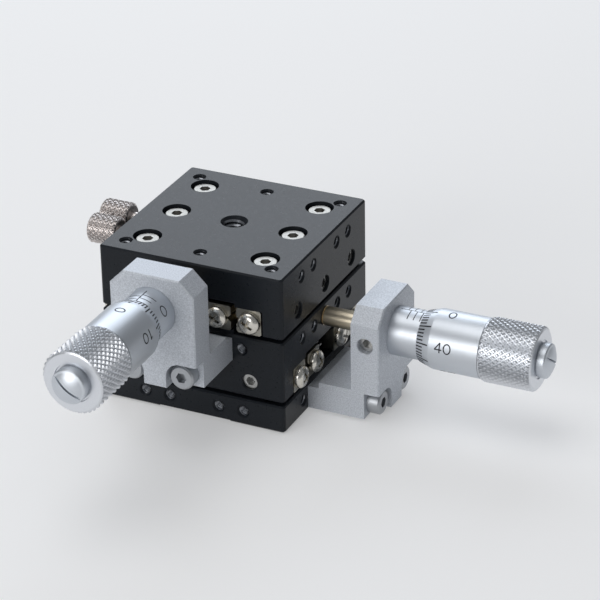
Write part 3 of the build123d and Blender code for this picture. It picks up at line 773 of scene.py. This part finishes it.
# ---- Thumb screws ----
def build_thumb_screw(name, letter):
    """Knurled knob on a plain shank, as long as its solid."""
    node = f"{name}_thumb_screw_{letter}"
    lo, hi = span(node)
    middle = (lo + hi) / 2
    if name == "x":
        inside, outside, origin = lo.y, hi.y, (middle.x, 0, middle.z)
    else:
        inside, outside, origin = -hi.x, -lo.x, (0, middle.y, middle.z)
    radius = (hi.z - lo.z) / 2
    front = outside - KNOB_LENGTH
    core = radius - KNOB_CORE

    def rounded(along):
        from_end = min(along - front, outside - along)
        return min(radius, core - KNOB_CHAMFER_DROP + from_end * KNOB_CHAMFER)

    start, end = front + KNOB_EDGE, outside - KNOB_EDGE
    knurl = diamond_rows(start, end, radius, KNOB_DEPTH, KNOB_AROUND, KNOB_ROWS, KNOB_FLAT, rounded)
    rows = [(inside, 0), (inside, SHANK_RADIUS - SHANK_CHAMFER)]
    rows += [(inside + SHANK_CHAMFER, SHANK_RADIUS), (front, SHANK_RADIUS), (front, core - KNOB_FACE_DROP)]
    rows += knurl + [(outside, core - KNOB_FACE_DROP), (outside, 0)]
    screw = turned(rows, KNOB_AROUND * KNURL_STEPS)
    piece = screw.piece(f"{node}_knurled", KNOB, facing(SLIDES[name]["lock_turn"], origin), 28.0)
    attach(piece, f"{name}_thumb_{letter}")
    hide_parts(node)


# ---- Return springs ----
def spring_path():
    """The wire's middle line: a ring, the coils, and the same ring turned about for the other end."""
    ring = []
    for step in range(RING_STEPS):
        turn = math.radians(RING_START - RING_SWEEP * step / RING_STEPS)
        ring.append((SPRING_POST + SPRING_RING * math.cos(turn), SPRING_RING * math.sin(turn), 0.0))
    ring.append((SPRING_LEAD, 0.05, 0.0))
    coils = []
    steps = COILS * COIL_STEPS
    for step in range(steps + 1):
        turn = 2 * math.pi * step / COIL_STEPS
        radius = COIL_RADIUS * min(1.0, (step + 1) / COIL_STEPS, (steps + 1 - step) / COIL_STEPS)
        along = SPRING_BODY - 2 * SPRING_BODY * step / steps
        coils.append((along, radius * math.cos(turn), radius * math.sin(turn)))
    return ring + coils + [(-x, -y, z) for x, y, z in reversed(ring)]


def build_spring(name):
    """Wound wire with a ring round each post."""
    slide = SLIDES[name]
    place = slide["place"] @ Matrix.Translation((0, 0, SPRING_HEIGHT))
    wound = wire(spring_path(), WIRE_RADIUS)
    piece = wound.piece(f"{name}_spring_wound", SLOTS["spring_steel"], place, 60.0)
    ends = [place @ Vector((side * SPRING_POST, 0, 0)) * MM for side in (1, -1)]
    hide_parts(f"{name}_spring")
    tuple(ends[0])
    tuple(ends[1])
    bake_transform(piece)


# ---- Threads in the tapped holes ----
def ridge(radius, start, end, pitch):
    """A thread's ridge standing in from a hole's wall, wound about +X from start to end."""
    per_turn = 20
    height = THREAD_HEIGHT * pitch
    steps = round((end - start) / pitch * per_turn)
    vertices, faces = [], []
    for step in range(steps + 1):
        along = start + pitch * step / per_turn
        fade = min(1.0, step / per_turn, (steps - step) / per_turn)
        turn = 2 * math.pi * step / per_turn
        foot, crest = radius + THREAD_ROOT, radius - THREAD_LIFT - height * fade
        for shift, r in ((-THREAD_HALF_WIDTH, foot), (THREAD_HALF_WIDTH, foot), (0.0, crest)):
            vertices.append((along + shift * pitch, r * math.cos(turn), r * math.sin(turn)))
    for step in range(steps):
        for k in range(3):
            j = (k + 1) % 3
            faces.append((3 * step + k, 3 * step + j, 3 * step + 3 + j, 3 * step + 3 + k))
    faces += [(2, 1, 0), (3 * steps, 3 * steps + 1, 3 * steps + 2)]
    shape = Shape()
    shape.add(vertices, faces)
    return shape


def build_threads(node, body, holes):
    """One piece for a plate's threads; a hole is (place whose +X goes out of it, radius, depth, pitch)."""
    gathered = Shape()
    for place, radius, depth, pitch in holes:
        moved = ridge(radius, THREAD_END_GAP - depth, -THREAD_LEAD_IN, pitch).moved(place)
        gathered.add(moved.vertices, moved.faces)
    piece = gathered.piece(f"{node}_threads", THREAD, crease=50.0)
    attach(piece, body)


def side_row(turn, height, spots):
    """Tapped M2 holes in a side face; turn is the face's direction from +X, in degrees."""
    out = facing(turn, (0, 0, height))
    return [(out @ Matrix.Translation((FACE, s, 0)), M2_TAP_RADIUS, ROW_DEPTH, M2_PITCH) for s in spots]


def table_holes():
    """Tapped holes in the table: one near each corner, two between them and the one in the middle."""
    upward = Matrix.Rotation(-math.pi / 2, 4, "Y")
    spots = [(x, y) for x in (-CORNER_HALF, CORNER_HALF) for y in (-CORNER_HALF, CORNER_HALF)]
    holes = []
    for x, y in spots + [(0, -MIDDLE_HALF), (0, MIDDLE_HALF)]:
        place = Matrix.Translation((x, y, TABLE_TOP)) @ upward
        holes.append((place, M2_TAP_RADIUS, TABLE_M2_DEPTH, M2_PITCH))
    middle = Matrix.Translation((0, 0, TABLE_TOP)) @ upward
    return holes + [(middle, M4_TAP_RADIUS, TABLE_M4_DEPTH, M4_PITCH)]


def build_all_threads():
    """Threads of the three plates; a bracket leaves only the end holes of the row it stands on."""
    ends = (ROW_SPOTS[0], ROW_SPOTS[-1])
    middle_height = ROW_HEIGHT + PITCH
    base = side_row(-90, ROW_HEIGHT, ROW_SPOTS) + side_row(0, ROW_HEIGHT, ends)
    middle = side_row(0, middle_height, ROW_SPOTS) + side_row(-90, middle_height, ends)
    build_threads("base_plate", "base", base)
    build_threads("middle_plate", "middle", middle)
    build_threads("top_plate", "table", side_row(0, SIDE_ROW_HEIGHT, ROW_SPOTS) + table_holes())


dress_solids()
end_screw = pan_screw(END_SCREW_LENGTH)
lock_screw = pan_screw(LOCK_SCREW_LENGTH)
for name in SLIDES:
    build_thimble_barrel(name)
    build_thimble_grip(name)
    build_thimble_marks(name)
    build_end_button(name)
    build_sleeve_marks(name)
    build_slide_screws(name, end_screw, lock_screw)
    for letter in "ab":
        build_thumb_screw(name, letter)
    build_spring(name)
build_all_threads()

# ---- Floor, light and camera; the camera's angles in radians and distances in millimetres ----
CAMERA_AZIMUTH = 0.449604
CAMERA_ELEVATION = 0.482252
CAMERA_ROLL = -0.018809
CAMERA_SHIFT_RIGHT = 9.8669
CAMERA_SHIFT_UP = -11.9054
CAMERA_DISTANCE = 410.31
CAMERA_AIM = Vector((0, 0, 25.5))
FOCAL_PIXELS = 2731.61
IMAGE_SIDE = 600
SENSOR = 36.0
FLOOR_SIZE = 6
FLOOR_DROP = 0.0002  # metres under the base, so that the two faces don't share a plane
FLOOR_COLOUR = (0.93, 0.93, 0.935)
FLOOR_WHITENESS = 0.3  # share of plain white that the camera and reflections see in the floor
LAMP_AIM = Vector((0, 0, 0.012))


def build_camera():
    """The photograph's viewpoint."""
    sin_a, cos_a = math.sin(CAMERA_AZIMUTH), math.cos(CAMERA_AZIMUTH)
    sin_e, cos_e = math.sin(CAMERA_ELEVATION), math.cos(CAMERA_ELEVATION)
    back = Vector((sin_a * cos_e, -cos_a * cos_e, sin_e))
    level = Vector((cos_a, sin_a, 0))
    upright = back.cross(level)
    right = level * math.cos(CAMERA_ROLL) + upright * math.sin(CAMERA_ROLL)
    up = -level * math.sin(CAMERA_ROLL) + upright * math.cos(CAMERA_ROLL)
    place = CAMERA_AIM + right * CAMERA_SHIFT_RIGHT + up * CAMERA_SHIFT_UP + back * CAMERA_DISTANCE
    data = bpy.data.cameras.new("camera")
    data.sensor_width = SENSOR
    data.lens = FOCAL_PIXELS / IMAGE_SIDE * SENSOR
    data.clip_start = 0.01
    data.clip_end = 20
    camera = bpy.data.objects.new("camera", data)
    matrix = Matrix((right, up, back)).transposed().to_4x4()
    matrix.translation = place * MM
    camera.matrix_world = matrix
    bpy.context.scene.collection.objects.link(camera)
    bpy.context.scene.camera = camera


def build_floor():
    """Pale floor that keeps its shadow and looks whiter to the camera and in reflections."""
    bpy.ops.mesh.primitive_plane_add(size=FLOOR_SIZE, location=(0, 0, -FLOOR_DROP))
    floor = bpy.context.object
    floor.name = "floor"
    material, tree, principled = shader("floor", FLOOR_COLOUR, 0.0, 0.9, 0.2)
    paper = tree.nodes.new("ShaderNodeEmission")
    path = tree.nodes.new("ShaderNodeLightPath")
    seen = [path.outputs[ray] for ray in ("Is Camera Ray", "Is Glossy Ray", "Is Transmission Ray")]
    share = seen[0]
    for ray in seen[1:]:
        either = tree.nodes.new("ShaderNodeMath")
        either.operation = "MAXIMUM"
        tree.links.new(share, either.inputs[0])
        tree.links.new(ray, either.inputs[1])
        share = either.outputs[0]
    faded = tree.nodes.new("ShaderNodeMath")
    faded.operation = "MULTIPLY"
    faded.inputs[1].default_value = FLOOR_WHITENESS
    tree.links.new(share, faded.inputs[0])
    mix = tree.nodes.new("ShaderNodeMixShader")
    tree.links.new(faded.outputs[0], mix.inputs[0])
    tree.links.new(principled.outputs[0], mix.inputs[1])
    tree.links.new(paper.outputs[0], mix.inputs[2])
    tree.links.new(mix.outputs[0], tree.nodes["Material Output"].inputs["Surface"])
    floor.data.materials.append(material)


def build_world():
    """Even, slightly cool light from all round."""
    world = bpy.data.worlds.new("studio")
    world.use_nodes = True
    sky = world.node_tree.nodes["Background"]
    sky.inputs["Color"].default_value = (0.93, 0.96, 1.0, 1)
    sky.inputs["Strength"].default_value = 0.26
    bpy.context.scene.world = world


def softbox(name, azimuth, elevation, distance, size, power, colour=(1, 1, 1)):
    """An area light aimed at the stage; azimuth 0 stands on the -Y side, 90 on +X."""
    a, e = math.radians(azimuth), math.radians(elevation)
    direction = Vector((math.sin(a) * math.cos(e), -math.cos(a) * math.cos(e), math.sin(e)))
    data = bpy.data.lights.new(name, "AREA")
    data.shape = "RECTANGLE"
    data.size, data.size_y = size
    data.energy = power
    data.color = colour
    lamp = bpy.data.objects.new(name, data)
    lamp.location = direction * distance + LAMP_AIM
    lamp.rotation_euler = direction.to_track_quat("Z", "Y").to_euler()
    lamp.visible_camera = False
    bpy.context.scene.collection.objects.link(lamp)


build_camera()
build_floor()
build_world()
softbox("front", -12, 17, 0.6, (0.4, 0.24), 1.3)
softbox("top", -60, 76, 0.7, (0.5, 0.5), 1.5)
softbox("back", -155, 32, 0.6, (0.5, 0.3), 1.35, (0.86, 0.92, 1.0))
bpy.context.scene.view_settings.view_transform = "Standard"
